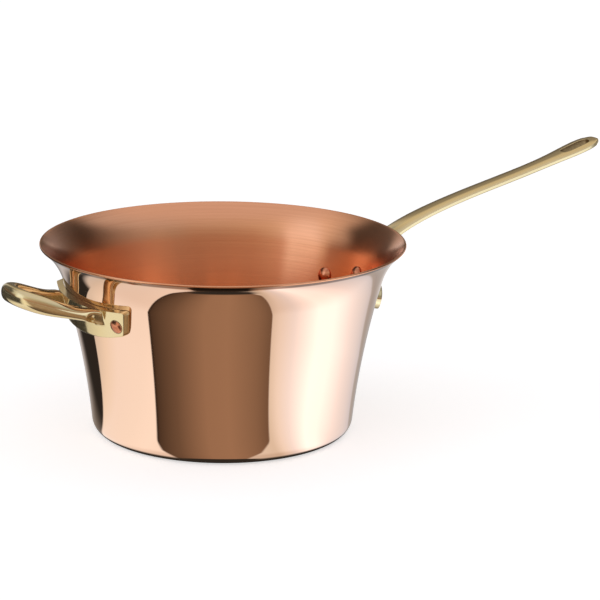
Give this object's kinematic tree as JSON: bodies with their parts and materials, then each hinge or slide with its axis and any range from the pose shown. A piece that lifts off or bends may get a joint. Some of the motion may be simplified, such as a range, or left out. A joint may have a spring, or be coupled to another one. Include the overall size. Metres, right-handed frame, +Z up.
{
  "type": "splayed saute pan",
  "caption": "Deep copper pan with a flared wall, a long brass handle with a hanging eye, a brass loop handle opposite it and copper rivets.",
  "frame": {"origin": "centre of the base's underside", "axes": "+Z up, out of the pan's mouth; +X along the long handle"},
  "size_m": [0.4857, 0.26, 0.1868],
  "materials": {
    "copper": "mirror polished outside, brushed inside",
    "cast_brass": "polished",
    "rivet_copper": "polished"
  },
  "bodies": {
    "root": {"pan_body": "copper", "long_handle": "cast_brass", "loop_handle": "cast_brass", "handle_rivet_left": "rivet_copper", "handle_rivet_middle": "rivet_copper", "handle_rivet_right": "rivet_copper", "loop_rivet_left": "rivet_copper", "loop_rivet_right": "rivet_copper"}
  },
  "joints": []
}
